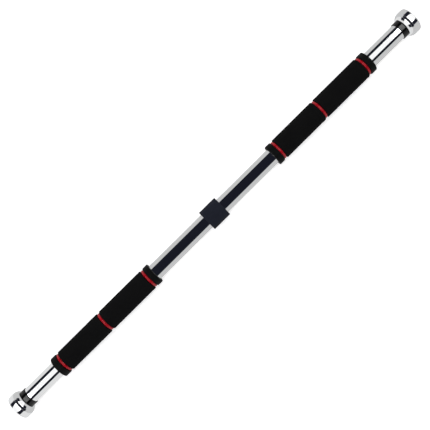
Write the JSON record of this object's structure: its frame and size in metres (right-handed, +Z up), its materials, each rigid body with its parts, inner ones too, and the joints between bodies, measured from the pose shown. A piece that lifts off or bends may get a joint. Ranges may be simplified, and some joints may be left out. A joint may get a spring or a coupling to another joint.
{
  "type": "pull-up bar",
  "caption": "Doorway pull-up bar: chromed tubes joined in the middle, foam grips with red rings, and screw-out cupped feet at the ends.",
  "frame": {"origin": "centre of the bar on its axis", "axes": "+X along the bar towards the foot with the right-hand thread, +Z up; the bar is round, so up is only the side the grub screws face"},
  "size_m": [0.8946, 0.044, 0.044],
  "materials": {
    "chrome": "polished",
    "foam": "matte",
    "red_rubber": "satin",
    "black_rubber": "matte",
    "sleeve_plastic": "matte",
    "black_nylon": "satin",
    "white_nylon": "satin",
    "plated_steel": "satin"
  },
  "bodies": {
    "bar": {"centre_joiner": "plated_steel", "centre_sleeve": "sleeve_plastic", "left_tube": "chrome", "right_tube": "chrome", "left_grip_foam_inner": "foam", "right_grip_foam_inner": "foam", "left_grip_foam_outer": "foam", "right_grip_foam_outer": "foam", "left_grip_red_ring_inner": "red_rubber", "right_grip_red_ring_inner": "red_rubber", "left_grip_red_ring_middle": "red_rubber", "right_grip_red_ring_middle": "red_rubber", "left_grip_red_ring_outer": "red_rubber", "right_grip_red_ring_outer": "red_rubber", "left_grip_end_ring_inner": "black_rubber", "right_grip_end_ring_inner": "black_rubber", "left_grip_end_ring_outer": "black_rubber", "right_grip_end_ring_outer": "black_rubber", "left_collar": "black_nylon", "right_collar": "black_nylon", "left_joint_pin": "plated_steel", "right_joint_pin": "plated_steel", "left_end_nut": "plated_steel", "right_end_nut": "plated_steel", "left_nut_screw": "plated_steel", "right_nut_screw": "plated_steel"},
    "left_bush": {"left_guide_bush": "white_nylon"},
    "right_bush": {"right_guide_bush": "white_nylon"},
    "left_foot": {"left_lead_screw": "plated_steel", "left_end_cup": "chrome", "left_cup_washer": "plated_steel", "left_cup_bolt": "plated_steel", "left_end_pad": "black_rubber", "left_stop_washer": "plated_steel", "left_stop_screw": "plated_steel"},
    "right_foot": {"right_lead_screw": "plated_steel", "right_end_cup": "chrome", "right_cup_washer": "plated_steel", "right_cup_bolt": "plated_steel", "right_end_pad": "black_rubber", "right_stop_washer": "plated_steel", "right_stop_screw": "plated_steel"}
  },
  "joints": [
    {"name": "left_foot_travel", "type": "slide", "parent": "bar", "child": "left_bush", "axis": [-1, 0, 0], "range_m": [0, 0.06]},
    {"name": "left_foot_turn", "type": "hinge", "parent": "left_bush", "child": "left_foot", "pos_m": [-0.4265, 0, 0], "axis": [1, 0, 0], "range_deg": [0, 5400]},
    {"name": "right_foot_travel", "type": "slide", "parent": "bar", "child": "right_bush", "axis": [1, 0, 0], "range_m": [0, 0.06]},
    {"name": "right_foot_turn", "type": "hinge", "parent": "right_bush", "child": "right_foot", "pos_m": [0.4265, 0, 0], "axis": [1, 0, 0], "range_deg": [0, 5400]}
  ],
  "couplings": [
    {"joint": "left_foot_turn", "follows": "left_foot_travel", "rad_per_m": 1570.8},
    {"joint": "right_foot_turn", "follows": "right_foot_travel", "rad_per_m": 1570.8}
  ]
}
